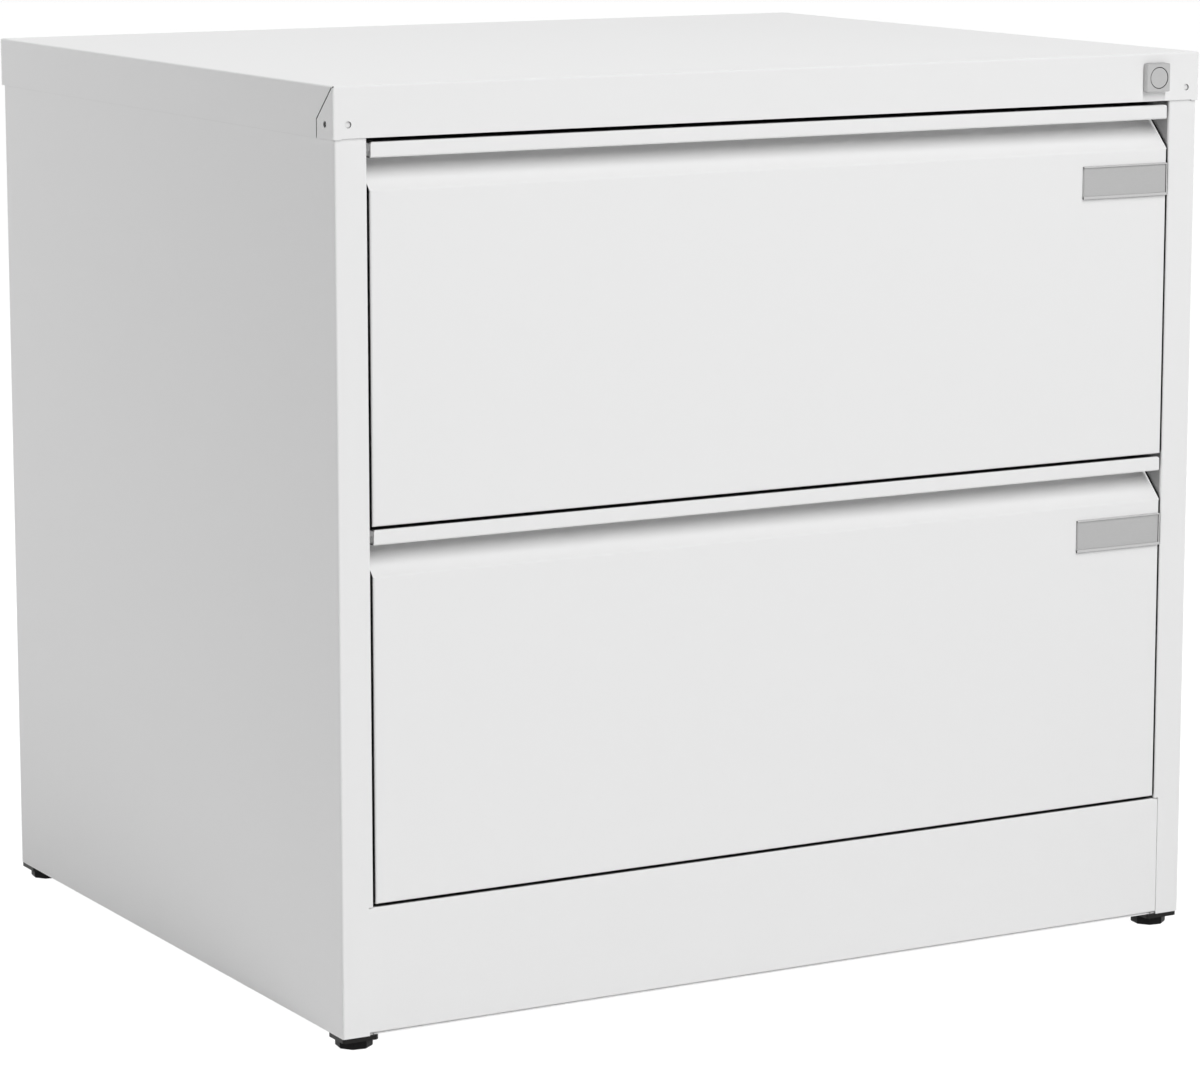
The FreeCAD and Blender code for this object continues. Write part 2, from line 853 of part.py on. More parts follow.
# Catch on the drawer's right side, which the lock bar's hook stops
def make_lock_catch(bottom):
    foot = box_half + seat_gap
    path = [(foot + catch_reach, catch_front), (foot, catch_front), (foot, catch_front + catch_base)]
    low = bottom + catch_centre - catch_height / 2
    return along_z(folded(path, plan_view, catch_sheet), low, low + catch_height)


# Lock in the lid's front flange

def make_lock_housing():
    head = block(lock_x - lock_width / 2, lock_x + lock_width / 2, front - lock_proud, front - seat_gap,
                 lock_z - lock_height / 2, lock_z + lock_height / 2)
    rim = [edge for edge in head.Edges if edge.BoundBox.YMin < front - lock_bevel]
    head = head.makeChamfer(lock_bevel, rim)
    neck = rod(Vector(lock_x, front - seat_gap - touching, lock_z), lock_neck_radius, Vector(0, 1, 0),
               neck_end - front + seat_gap)
    bore = rod(Vector(lock_x, front - lock_proud - overrun, lock_z), barrel_radius + barrel_fit,
               Vector(0, 1, 0), lock_proud + lock_neck_length + 2 * overrun)
    # A narrow groove runs round the barrel's face
    groove = rod(Vector(lock_x, front - lock_proud - overrun, lock_z), barrel_radius + barrel_groove,
                 Vector(0, 1, 0), overrun + barrel_groove_depth)
    return head.fuse(neck).cut(bore).cut(groove)


def make_lock_nut():
    start = top_rail_front + sheet + seat_gap
    nut = along_y(hexagon(lock_x, lock_z, nut_across), start, start + nut_thickness)
    return nut.cut(rod(Vector(lock_x, start - overrun, lock_z), lock_neck_radius + seat_gap,
                       Vector(0, 1, 0), nut_thickness + 2 * overrun))


def make_lock_barrel():
    start = front - lock_proud
    barrel = rod(Vector(lock_x, start, lock_z), barrel_radius, Vector(0, 1, 0), neck_end - start)
    rim = [edge for edge in barrel.Edges if edge.BoundBox.YMax < start + touching]
    barrel = barrel.makeChamfer(barrel_bevel, rim)
    half = barrel_shank / 2
    shank = block(lock_x - half, lock_x + half, neck_end - touching, cam_back + seat_gap,
                  lock_z - half, lock_z + half)
    return barrel.fuse(shank)


# Cam: a plate on the barrel's square end, with a pin that lifts the bar
def make_lock_cam():
    hub = rod(Vector(lock_x, cam_front, lock_z), cam_hub_radius, Vector(0, 1, 0), cam_sheet)
    pin_x = lock_x + cam_throw
    tip = rod(Vector(pin_x, cam_front, lock_z), cam_tip_radius, Vector(0, 1, 0), cam_sheet)
    spread = math.acos((cam_hub_radius - cam_tip_radius) / cam_throw)
    rise = math.sin(spread)
    lean = math.cos(spread)
    flank = [(lock_x + cam_hub_radius * lean, lock_z + cam_hub_radius * rise),
             (pin_x + cam_tip_radius * lean, lock_z + cam_tip_radius * rise),
             (pin_x + cam_tip_radius * lean, lock_z - cam_tip_radius * rise),
             (lock_x + cam_hub_radius * lean, lock_z - cam_hub_radius * rise)]
    web = along_y(polygon(flank, front_view), cam_front, cam_back)
    pin = rod(Vector(pin_x, cam_back - touching, lock_z), pin_radius, Vector(0, 1, 0), pin_length)
    cam = hub.fuse([web, tip, pin])
    cam.rotate(Vector(lock_x, 0, lock_z), Vector(0, 1, 0), cam_start)
    half = barrel_shank / 2 + shank_fit
    hole = block(lock_x - half, lock_x + half, cam_front - overrun, cam_back + overrun,
                 lock_z - half, lock_z + half)
    return cam.cut(hole).removeSplitter()


def hook_level(level):
    return plinth_top + front_gap + level * front_pitch + catch_centre - hook_drop


def bar_ends():
    low = hook_level(0) - hook_height / 2 - bar_tail
    high = lock_z - pin_swing + arm_height / 2
    return low, high


# Lock bar: a flat strip inside the right stile, a slotted arm on its top and a hook for each drawer.
# The arm and the hooks are welded on, so each is a solid of its own.
def make_lock_bar():
    low, high = bar_ends()
    strip = block(bar_x, bar_x + bar_sheet, bar_front, bar_back, low, high)
    arm_left = lock_x + pin_swing - pin_radius - pin_slot_gap - arm_wall
    arm = block(arm_left, bar_x - seat_gap, arm_front, arm_front + bar_sheet, high - arm_height, high)
    slot_z = high - arm_height / 2
    slot = block(arm_left + arm_wall, lock_x + cam_throw + pin_radius + pin_slot_gap,
                 arm_front - overrun, arm_front + overrun,
                 slot_z - pin_radius - pin_slot_gap, slot_z + pin_radius + pin_slot_gap)
    path = [(bar_x - hook_reach, hook_front + bar_sheet),
            (bar_x + bar_sheet, hook_front + bar_sheet),
            (bar_x + bar_sheet, bar_back + seat_gap)]
    hook = folded(path, plan_view, bar_sheet)
    bottoms = [hook_level(level) - hook_height / 2 for level in range(drawer_count)]
    return group([strip, arm.cut(slot)] + [along_z(hook, bottom, bottom + hook_height) for bottom in bottoms])


# Straps that hold the bar against the stile's return
def make_bar_guides():
    foot_skin = stile_edge + sheet + seat_gap
    crown_skin = bar_x + bar_sheet + guide_fit
    near = bar_front - guide_fit
    far = bar_back + guide_fit
    path = [(foot_skin, far + sheet + guide_foot),
            (foot_skin, far),
            (crown_skin, far),
            (crown_skin, near),
            (foot_skin, near),
            (foot_skin, near - sheet - guide_foot)]
    section = folded(path[::-1], plan_view, sheet, fold / 2)
    low, high = bar_ends()
    guides = []
    for share in guide_height_shares:
        centre = low + share * (high - low)
        guides.append(along_z(section, centre - guide_height / 2, centre + guide_height / 2))
    return group(guides)


pieces = {}
side_panel = make_side_panel()
pieces["lid"] = make_lid()
pieces["side_panel_left"] = mirrored(side_panel)
pieces["side_panel_right"] = side_panel.cut(arm_window())
pieces["back_panel"] = make_back_panel()
pieces["back_panel_screws"] = make_back_screws()
pieces["plinth_panel"] = make_plinth_panel()
pieces["base_tray"] = make_base_tray()
pieces["top_rail"] = make_top_rail()
pieces["middle_rail"] = make_middle_rail()

for place, start in (("front", runner_front + upright_inset),
                     ("rear", runner_rear - upright_inset - upright_crown)):
    upright = make_upright(start)
    pieces["upright_" + place + "_right"] = upright
    pieces["upright_" + place + "_left"] = mirrored(upright)

pieces["foot_plates"] = make_foot_plates()
for place, (x, y) in foot_places().items():
    pieces["foot_" + place] = make_foot(x, y)

pieces["lock_housing"] = make_lock_housing()
pieces["lock_nut"] = make_lock_nut()
pieces["lock_barrel"] = make_lock_barrel()
pieces["lock_cam"] = make_lock_cam()
pieces["lock_bar"] = make_lock_bar()
pieces["lock_bar_guides"] = make_bar_guides()

for level, drawer in enumerate(("bottom", "top")):
    bottom = plinth_top + front_gap + level * front_pitch
    pieces[drawer + "_drawer_front"] = make_drawer_front(bottom)
    pieces[drawer + "_drawer_inner_front"] = make_inner_front(bottom)
    pieces[drawer + "_drawer_floor"] = make_drawer_floor(bottom)
    pieces[drawer + "_drawer_back"] = make_drawer_back(bottom)
    pieces[drawer + "_drawer_file_bar"] = make_file_bar(bottom)
    pieces[drawer + "_drawer_label_holder"] = make_label_holder(bottom)
    pieces[drawer + "_drawer_label_card"] = make_label_card(bottom)
    pieces[drawer + "_drawer_lock_catch"] = make_lock_catch(bottom)
    drawer_side = make_drawer_side(bottom)
    height = bottom + runner_centre
    members = {"outer": outer_section(), "middle": middle_section(), "inner": inner_section()}
    for side, turned in (("right", Part.Shape.copy), ("left", mirrored)):
        pieces[drawer + "_drawer_side_" + side] = turned(drawer_side)
        for name, section in members.items():
            pieces[drawer + "_runner_" + side + "_" + name] = turned(make_member(section, height))
    for name, cage in (("outer", make_outer_cage(height)), ("inner", make_inner_cage(height))):
        pieces[drawer + "_runner_" + name + "_cages"] = group([cage, mirrored(cage)])

os.makedirs("parts", exist_ok=True)
for name, shape in pieces.items():
    shape.exportStep("parts/" + name + ".step")
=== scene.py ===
import json
import math

import bpy
import numpy as np
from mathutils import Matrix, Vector


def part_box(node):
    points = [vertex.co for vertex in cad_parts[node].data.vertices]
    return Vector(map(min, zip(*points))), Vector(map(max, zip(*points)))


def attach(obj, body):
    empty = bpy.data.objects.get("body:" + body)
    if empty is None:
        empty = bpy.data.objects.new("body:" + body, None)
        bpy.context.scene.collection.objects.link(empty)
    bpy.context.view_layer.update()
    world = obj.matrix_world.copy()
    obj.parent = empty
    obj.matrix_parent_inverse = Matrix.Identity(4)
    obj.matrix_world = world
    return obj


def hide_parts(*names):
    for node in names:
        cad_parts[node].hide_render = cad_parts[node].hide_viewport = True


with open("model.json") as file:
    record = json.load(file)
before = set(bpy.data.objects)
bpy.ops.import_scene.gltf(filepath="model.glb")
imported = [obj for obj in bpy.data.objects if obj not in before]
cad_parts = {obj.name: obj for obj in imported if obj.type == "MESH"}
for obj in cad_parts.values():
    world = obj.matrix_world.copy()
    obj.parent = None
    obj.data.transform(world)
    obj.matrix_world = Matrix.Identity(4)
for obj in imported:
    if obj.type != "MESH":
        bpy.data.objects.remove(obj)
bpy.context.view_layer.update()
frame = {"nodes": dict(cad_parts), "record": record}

mm = 0.001
scene = bpy.context.scene
print("frame loaded:", len(frame["nodes"]), "nodes")


def hexColour(code):
    # sRGB to linear: c / 12.92 near black, else ((c + 0.055) / 1.055) ^ 2.4
    channels = [int(code[i:i + 2], 16) / 255 for i in (1, 3, 5)]
    linear = [c / 12.92 if c <= 0.04045 else ((c + 0.055) / 1.055) ** 2.4 for c in channels]
    return tuple(linear) + (1.0,)


def addNode(tree, kind, settings=None, links=None):
    # a number or an input's name sets that input, any other name sets the node itself
    node = tree.nodes.new(kind)
    for name, value in (settings or {}).items():
        if isinstance(name, int) or name in node.inputs:
            node.inputs[name].default_value = value
        else:
            setattr(node, name, value)
    for name, source in (links or {}).items():
        tree.links.new(source, node.inputs[name])
    return node


def startMaterial(name, shaderSettings):
    material = bpy.data.materials.new(name)
    material.use_nodes = True
    tree = material.node_tree
    tree.nodes.clear()
    shader = addNode(tree, "ShaderNodeBsdfPrincipled", shaderSettings)
    addNode(tree, "ShaderNodeOutputMaterial", links={"Surface": shader.outputs["BSDF"]})
    place = addNode(tree, "ShaderNodeTexCoord")
    return material, tree, shader, place.outputs["Object"]


# Powder coat: polyester powder baked on steel. It flows out with a fine orange peel,
# which softens each highlight, and the sheet under it is never quite flat. Narrow seams are
# painted nearly black where little open sky is near, as painted shade read from the occlusion.
# The turned-in returns of the stiles get a grey painted shade. The painted seam shade is left
# off the plinth and its joints with the stiles.
powderCoat = {
    "colour": "#F1F1F1",
    "roughness": 0.42,
    "ior": 1.5,
    "peelSize": 1.8 * mm,
    "peelDepth": 0.006 * mm,
    "peelDetail": 1.5,
    "sheetWave": 160 * mm,
    "sheetDepth": 0.05 * mm,
    "sheetDetail": 0.0,
    "seamShade": "#0A0A0A",
    "seamReach": 5 * mm,
    "seamShadeOpen": (0.33, 0.6),      # share of open sky: from full painted shade to none
    "seamRays": 12,
    "jointWidth": 0.3 * mm,
    "jointHeight": 1.6 * mm,
    "returnShade": "#B2B2B2",
    "returnStart": 2.3 * mm,      # behind the stile's face, as returnEnd is
    "returnEnd": 29.3 * mm,
    "returnDepth": 0.7 * mm,
}


def coatMasks(tree, place):
    # the first mask is 1 on the two sheets that run back from the stiles' inner edges, which
    # get a grey painted shade, and 0 elsewhere; the second is 1 on the plinth and its joints
    # with the stiles, where the painted seam shade is left off, and 0 elsewhere
    s = powderCoat
    edge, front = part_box("side_panel_right")[0][:2]
    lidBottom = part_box("lid")[0][2]
    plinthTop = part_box("plinth_panel")[1][2]
    where = addNode(tree, "ShaderNodeSeparateXYZ", links={"Vector": place})
    aside = addNode(tree, "ShaderNodeMath", {"operation": "ABSOLUTE"}, {0: where.outputs["X"]})
    x, y, z = aside.outputs["Value"], where.outputs["Y"], where.outputs["Z"]
    returnMiddle = front + (s["returnEnd"] + s["returnStart"]) / 2
    returnHalf = (s["returnEnd"] - s["returnStart"]) / 2
    tests = {
        "onEdge": ("COMPARE", x, edge, s["returnDepth"]),
        "behindFace": ("COMPARE", y, returnMiddle, returnHalf),
        "underLid": ("LESS_THAN", z, lidBottom, 0),
        "outsideEdge": ("GREATER_THAN", x, edge + s["jointWidth"], 0),
        "nearPlinth": ("LESS_THAN", z, plinthTop + s["jointHeight"], 0),
        "onPlinth": ("LESS_THAN", z, plinthTop - s["jointHeight"], 0),
    }
    joins = {
        "onReturn": ("MULTIPLY", "onEdge", "behindFace"),
        "onReturns": ("MULTIPLY", "onReturn", "underLid"),
        "onJoint": ("MULTIPLY", "outsideEdge", "nearPlinth"),
        "seamShadeOff": ("MAXIMUM", "onJoint", "onPlinth"),
    }
    found = {}
    for name, (operation, source, value, spread) in tests.items():
        test = addNode(tree, "ShaderNodeMath", {"operation": operation, 1: value, 2: spread},
                       {0: source})
        found[name] = test.outputs["Value"]
    for name, (operation, first, second) in joins.items():
        join = addNode(tree, "ShaderNodeMath", {"operation": operation},
                       {0: found[first], 1: found[second]})
        found[name] = join.outputs["Value"]
    return found["onReturns"], found["seamShadeOff"]


def bakedPowderCoat():
    s = powderCoat
    material, tree, shader, place = startMaterial("powder coated steel, baked", {
        "Roughness": s["roughness"], "IOR": s["ior"]})
    fullShadeBelow, noShadeAbove = s["seamShadeOpen"]
    # painted shade in narrow seams: the colour goes to near black where the occlusion finds
    # little open sky within reach
    sky = addNode(tree, "ShaderNodeAmbientOcclusion", {
        "samples": s["seamRays"], "Distance": s["seamReach"]})
    skyShare = addNode(tree, "ShaderNodeMapRange", {
        "From Min": fullShadeBelow, "From Max": noShadeAbove}, {"Value": sky.outputs["AO"]})
    onReturns, seamShadeOff = coatMasks(tree, place)
    # the painted seam shade is left off the plinth and its joints with the stiles
    unshaded = addNode(tree, "ShaderNodeMath", {"operation": "MAXIMUM"},
                    {0: skyShare.outputs["Result"], 1: seamShadeOff})
    tint = addNode(tree, "ShaderNodeMix", {
        "data_type": "RGBA", 6: hexColour(s["seamShade"]), 7: hexColour(s["colour"])},
        {0: unshaded.outputs["Value"]})
    # painted shade on the stiles' returns: their colour is multiplied by a grey
    returnShaded = addNode(tree, "ShaderNodeMix", {
        "data_type": "RGBA", "blend_type": "MULTIPLY", 7: hexColour(s["returnShade"])},
        {0: onReturns, 6: tint.outputs[2]})
    tree.links.new(returnShaded.outputs[2], shader.inputs["Base Color"])
    peel = addNode(tree, "ShaderNodeTexNoise", {
        "Scale": 1 / s["peelSize"], "Detail": s["peelDetail"]}, {"Vector": place})
    wave = addNode(tree, "ShaderNodeTexNoise", {
        "Scale": 1 / s["sheetWave"], "Detail": s["sheetDetail"]}, {"Vector": place})
    flat = addNode(tree, "ShaderNodeBump", {"Distance": s["sheetDepth"]},
                   {"Height": wave.outputs["Fac"]})
    skin = addNode(tree, "ShaderNodeBump", {"Distance": s["peelDepth"]},
                   {"Height": peel.outputs["Fac"], "Normal": flat.outputs["Normal"]})
    tree.links.new(skin.outputs["Normal"], shader.inputs["Normal"])
    return material


# Zinc plated steel: cold-rolled strip, plated bright. Rolling leaves fine streaks along the
# strip, and the plating is a little cloudy.
zincPlate = {
    "colour": "#C4C7CA",
    "cloudColour": "#B3B6BA",
    "roughness": 0.3,
    "streakWidth": 0.9 * mm,      # drawn four times as coarse as rolled strip, so that it shows
    "streakLength": 60 * mm,
    "streakDepth": 0.004 * mm,
    "streakDetail": 2.0,
    "cloudSize": 14 * mm,
    "cloudDetail": 3.0,
}


def brightZincPlate():
    s = zincPlate
    material, tree, shader, place = startMaterial("zinc plated steel, rolled", {
        "Metallic": 1.0, "Roughness": s["roughness"]})
    along = (1 / s["streakWidth"], 1 / s["streakLength"], 1 / s["streakWidth"])
    stretched = addNode(tree, "ShaderNodeMapping", {"Scale": along}, {"Vector": place})
    streaks = addNode(tree, "ShaderNodeTexNoise", {"Scale": 1.0, "Detail": s["streakDetail"]},
                      {"Vector": stretched.outputs["Vector"]})
    cloud = addNode(tree, "ShaderNodeTexNoise", {
        "Scale": 1 / s["cloudSize"], "Detail": s["cloudDetail"]}, {"Vector": place})
    tint = addNode(tree, "ShaderNodeMix", {
        "data_type": "RGBA", 6: hexColour(s["colour"]), 7: hexColour(s["cloudColour"])},
        {0: cloud.outputs["Fac"]})
    bump = addNode(tree, "ShaderNodeBump", {"Distance": s["streakDepth"]},
                   {"Height": streaks.outputs["Fac"]})
    tree.links.new(tint.outputs[2], shader.inputs["Base Color"])
    tree.links.new(bump.outputs["Normal"], shader.inputs["Normal"])
    return material


# Satin nickel on die-cast zinc: blasted before plating, so it glows softly and mirrors nothing.
# The ring at the clearance round the barrel's face is painted dark, as painted shade.
satinNickel = {
    "colour": "#BFBFBF",
    "roughness": 0.5,
    "grit": 0.35 * mm,
    "gritDepth": 0.012 * mm,
    "gritDetail": 1.0,
    "grooveShade": "#3C3C3C",
    "grooveMiddle": 8.25 * mm,
    "grooveHalf": 0.3 * mm,
}


def blastedNickel():
    s = satinNickel
    material, tree, shader, place = startMaterial("satin nickel, blasted", {
        "Metallic": 1.0, "Roughness": s["roughness"]})
    low, high = (np.array(corner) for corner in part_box("lock_barrel"))
    # distance from the barrel's axis: the length of place minus middle, flattened along y
    fromMiddle = addNode(tree, "ShaderNodeVectorMath", {
        "operation": "SUBTRACT", 1: tuple((low + high) / 2)}, {0: place})
    across = addNode(tree, "ShaderNodeVectorMath", {"operation": "MULTIPLY", 1: (1, 0, 1)},
                     {0: fromMiddle.outputs[0]})
    radius = addNode(tree, "ShaderNodeVectorMath", {"operation": "LENGTH"},
                     {0: across.outputs[0]})
    # painted shade: a dark ring at the clearance round the barrel's face
    inGroove = addNode(tree, "ShaderNodeMath", {
        "operation": "COMPARE", 1: s["grooveMiddle"], 2: s["grooveHalf"]},
        {0: radius.outputs["Value"]})
    tint = addNode(tree, "ShaderNodeMix", {
        "data_type": "RGBA", 6: hexColour(s["colour"]), 7: hexColour(s["grooveShade"])},
        {0: inGroove.outputs["Value"]})
    tree.links.new(tint.outputs[2], shader.inputs["Base Color"])
    grain = addNode(tree, "ShaderNodeTexNoise", {
        "Scale": 1 / s["grit"], "Detail": s["gritDetail"]}, {"Vector": place})
    bump = addNode(tree, "ShaderNodeBump", {"Distance": s["gritDepth"]},
                   {"Height": grain.outputs["Fac"]})
    tree.links.new(bump.outputs["Normal"], shader.inputs["Normal"])
    return material


# Moulded plastics: the mould is spark-eroded, which leaves a fine even grain on the skin.
# Skin that faces sideways or down is painted darker, as painted shade.
mouldedPlastics = {
    "holder": {
        "name": "ABS, moulded, light grey",
        "colour": "#CBCBCB",
        "wallShade": "#242424",
        "roughness": 0.45,
        "shine": 0.5,
        "grain": 0.5 * mm,
        "grainDepth": 0.006 * mm,
        "grainDetail": 2.0,
    },
    "foot": {
        "name": "polyamide, moulded, black",
        "colour": "#0A0A0A",
        "wallShade": "#050505",
        "roughness": 0.5,
        "shine": 0.12,
        "grain": 0.7 * mm,
        "grainDepth": 0.02 * mm,
        "grainDetail": 2.0,
    },
}


def mouldedPlastic(which):
    s = mouldedPlastics[which]
    material, tree, shader, place = startMaterial(s["name"], {
        "Roughness": s["roughness"], "Specular IOR Level": s["shine"]})
    grain = addNode(tree, "ShaderNodeTexNoise", {
        "Scale": 1 / s["grain"], "Detail": s["grainDetail"]}, {"Vector": place})
    bump = addNode(tree, "ShaderNodeBump", {"Distance": s["grainDepth"]},
                   {"Height": grain.outputs["Fac"]})
    # a wall is skin that looks sideways or down: the larger of |x| and -z of its direction
    skin = addNode(tree, "ShaderNodeNewGeometry")
    facing = addNode(tree, "ShaderNodeSeparateXYZ", links={"Vector": skin.outputs["Normal"]})
    sideways = addNode(tree, "ShaderNodeMath", {"operation": "ABSOLUTE"},
                       {0: facing.outputs["X"]})
    down = addNode(tree, "ShaderNodeMath", {"operation": "MULTIPLY", 1: -1.0},
                   {0: facing.outputs["Z"]})
    wall = addNode(tree, "ShaderNodeMath", {"operation": "MAXIMUM"},
                   {0: sideways.outputs["Value"], 1: down.outputs["Value"]})
    # painted shade: the darker colour goes on skin facing sideways or down
    tint = addNode(tree, "ShaderNodeMix", {
        "data_type": "RGBA", 6: hexColour(s["colour"]), 7: hexColour(s["wallShade"])},
        {0: wall.outputs["Value"]})
    tree.links.new(tint.outputs[2], shader.inputs["Base Color"])
    tree.links.new(bump.outputs["Normal"], shader.inputs["Normal"])
    return material


# Card: grey board, calendered. Its fibres show as faint flecks along the strip.
labelCard = {
    "colour": "#C2C2C2",
    "fleckColour": "#BABABA",
    "roughness": 0.7,
    "ior": 1.45,
    "fibreLength": 3 * mm,
    "fibreWidth": 0.4 * mm,
    "fibreDetail": 2.0,
}


def calenderedCard():
    s = labelCard
    material, tree, shader, place = startMaterial("grey board, calendered", {
        "Roughness": s["roughness"], "IOR": s["ior"]})
    lie = (1 / s["fibreLength"], 1 / s["fibreWidth"], 1 / s["fibreWidth"])
    stretched = addNode(tree, "ShaderNodeMapping", {"Scale": lie}, {"Vector": place})
    fibres = addNode(tree, "ShaderNodeTexNoise", {"Scale": 1.0, "Detail": s["fibreDetail"]},
                     {"Vector": stretched.outputs["Vector"]})
    tint = addNode(tree, "ShaderNodeMix", {
        "data_type": "RGBA", 6: hexColour(s["colour"]), 7: hexColour(s["fleckColour"])},
        {0: fibres.outputs["Fac"]})
    tree.links.new(tint.outputs[2], shader.inputs["Base Color"])
    return material


# Black enamel on the foot plates: brushed on thickly, so it is glossier than the polyamide
# of the feet under it.
plateEnamel = {
    "colour": "#0E0D0C",
    "roughness": 0.4,
    "shine": 0.22,
    "sag": 4 * mm,
    "sagDepth": 0.03 * mm,
    "sagDetail": 1.0,
}


def brushedEnamel():
    s = plateEnamel
    material, tree, shader, place = startMaterial("black enamel, brushed on", {
        "Base Color": hexColour(s["colour"]), "Roughness": s["roughness"],
        "Specular IOR Level": s["shine"]})
    sag = addNode(tree, "ShaderNodeTexNoise", {
        "Scale": 1 / s["sag"], "Detail": s["sagDetail"]}, {"Vector": place})
    bump = addNode(tree, "ShaderNodeBump", {"Distance": s["sagDepth"]},
                   {"Height": sag.outputs["Fac"]})
    tree.links.new(bump.outputs["Normal"], shader.inputs["Normal"])
    return material


# Bearing steel: ground and lapped, close to a mirror. Grease leaves a faint haze on it.
bearingSteel = {
    "colour": "#D6D7D9",
    "roughness": 0.12,
    "hazeRoughness": 0.24,
    "hazeSize": 0.8 * mm,
    "hazeDetail": 1.0,
}


def lappedSteel():
    s = bearingSteel
    material, tree, shader, place = startMaterial("bearing steel, lapped", {
        "Base Color": hexColour(s["colour"]), "Metallic": 1.0})
    haze = addNode(tree, "ShaderNodeTexNoise", {
        "Scale": 1 / s["hazeSize"], "Detail": s["hazeDetail"]}, {"Vector": place})
    spread = addNode(tree, "ShaderNodeMapRange", {
        "To Min": s["roughness"], "To Max": s["hazeRoughness"]}, {"Value": haze.outputs["Fac"]})
    tree.links.new(spread.outputs["Result"], shader.inputs["Roughness"])
    return material


finishes = {
    "white_powder_coat": bakedPowderCoat(),
    "zinc_plated_steel": brightZincPlate(),
    "satin_nickel": blastedNickel(),
    "grey_plastic": mouldedPlastic("holder"),
    "grey_card": calenderedCard(),
    "black_steel": brushedEnamel(),
    "black_plastic": mouldedPlastic("foot"),
}
ballFinish = lappedSteel()

for entry in frame["record"]["subparts"]:
    node = frame["nodes"][entry["node"]]
    node.data.materials.clear()
    node.data.materials.append(finishes[entry["material_slot"]])
print("finishes on the sheet metal and the fittings:", len(finishes))


def closedFaces(along, around):
    # the faces of an (along, around) grid that closes on itself around, with vertices row by
    # row: four-sided ones between the rings, and at each end a fan to one more vertex
    index = np.arange(along * around).reshape(along, around)
    following = np.roll(index, -1, axis=1)
    sides = np.stack([index[:-1], following[:-1], following[1:], index[1:]], axis=-1)
    firstTip, lastTip = along * around, along * around + 1
    firstFan = np.stack([np.full(around, firstTip), following[0], index[0]], axis=-1)
    lastFan = np.stack([np.full(around, lastTip), index[-1], following[-1]], axis=-1)
    return sides.reshape(-1, 4), np.concatenate([firstFan, lastFan])


def smoothMesh(name, vertices, sides, fans, finish):
    mesh = bpy.data.meshes.new(name)
    mesh.from_pydata(vertices.tolist(), [], sides.tolist() + fans.tolist())
    mesh.polygons.foreach_set("use_smooth", np.ones(len(mesh.polygons), dtype=bool))
    mesh.materials.append(finish)
    return mesh


def surface(name, points, finish, body):
    # points is an (along, around, 3) grid, and its open ends are closed to their middles
    tips = [points[0].mean(axis=0)[None], points[-1].mean(axis=0)[None]]
    vertices = np.concatenate([points.reshape(-1, 3)] + tips)
    sides, fans = closedFaces(*points.shape[:2])
    mesh = smoothMesh(name, vertices, sides, fans, finish)
    mesh.set_sharp_from_angle(angle=levellingFoot["crease"])
    piece = bpy.data.objects.new(name, mesh)
    scene.collection.objects.link(piece)
    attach(piece, body)
    return piece


levellingFoot = {
    "sides": 8,
    "turn": math.radians(15),
    "across": 26 * mm,
    "roundShare": 0.05,           # how far the moulded corners fall short of sharp ones
    "padHeight": 6.9 * mm,
    "rim": 1.0 * mm,
    "rimCurve": [(0, 1.6), (0, 1), (0.12, 0.72), (0.72, 0.12), (1, 0)],    # up, in: times rim
    "topEdge": 0.4 * mm,
    "topCurve": [(1, 0), (0.3, 0.3), (0, 1)],     # down from the top, in: times topEdge
    "studRadius": 4.0 * mm,
    "threadPitch": 1.25 * mm,
    "threadDepth": 0.62 * mm,
    "studPoint": 1.0 * mm,
    "pointShare": 1.2,            # how far the stud's point goes in: times threadDepth
    "crease": math.radians(35),   # an edge sharper than this stays sharp
    "stepsAround": 96,
    "stepsPerPitch": 8,
}


def footSurface(name):
    # pad: radius = apothem / cos(angle from the nearest flat's middle), rounded at the corners,
    # less the profile's inset
    # stud: radius = studRadius - threadDepth * triangle wave of (height / pitch - turn)
    s = levellingFoot
    low, high = (np.array(corner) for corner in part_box(name))
    x, y = (low[:2] + high[:2]) / 2
    turn = np.linspace(0, 2 * math.pi, s["stepsAround"], endpoint=False)
    part = 2 * math.pi / s["sides"]
    fromFlat = np.mod(turn - s["turn"], part) - part / 2
    apothem = s["across"] / 2
    flatRadius = apothem * (1 + (1 - s["roundShare"]) * (1 / np.cos(fromFlat) - 1))
    top, edge, rim = s["padHeight"], s["topEdge"], s["rim"]
    profile = [(up * rim, inset * rim) for up, inset in s["rimCurve"]]
    profile += [(top - down * edge, inset * edge) for down, inset in s["topCurve"]]
    padHeights, insets = np.array(profile).T
    studTop = high[2]
    steps = int((studTop - top) / s["threadPitch"] * s["stepsPerPitch"])
    heights = np.linspace(top, studTop, steps)
    phase = np.mod(heights[:, None] / s["threadPitch"] - turn[None, :] / (2 * math.pi), 1)
    thread = s["studRadius"] - s["threadDepth"] * np.abs(2 * phase - 1)
    taper = np.clip((studTop - heights) / s["studPoint"], 0, 1)[:, None]
    point = s["studRadius"] - s["threadDepth"] * s["pointShare"] * (1 - taper)
    radii = np.concatenate([flatRadius - insets[:, None], np.minimum(thread, point)])
    levels = np.concatenate([padHeights, heights])
    return np.stack([x + radii * np.cos(turn), y + radii * np.sin(turn),
                     np.broadcast_to(levels[:, None], radii.shape)], axis=-1)


for corner in ("front_left", "front_right", "rear_left", "rear_right"):
    node = "foot_" + corner
    foot = surface("levelling_foot_" + corner, footSurface(node), finishes["black_plastic"],
                   node)
    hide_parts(node)
print("levelling feet turned")


ballRow = {
    "radius": 1.98 * mm,
    "perRow": 12,
    "cageLength": 250 * mm,
    # x is how far a row is from the cabinet's middle, rise how far above or below the runner's
    "cages": {
        "outer": {"x": 347.58 * mm, "rise": 23.25 * mm},
        "inner": {"x": 339.62 * mm, "rise": 19.99 * mm},
    },
    "stepsAround": 10,
    "stepsUp": 7,
}


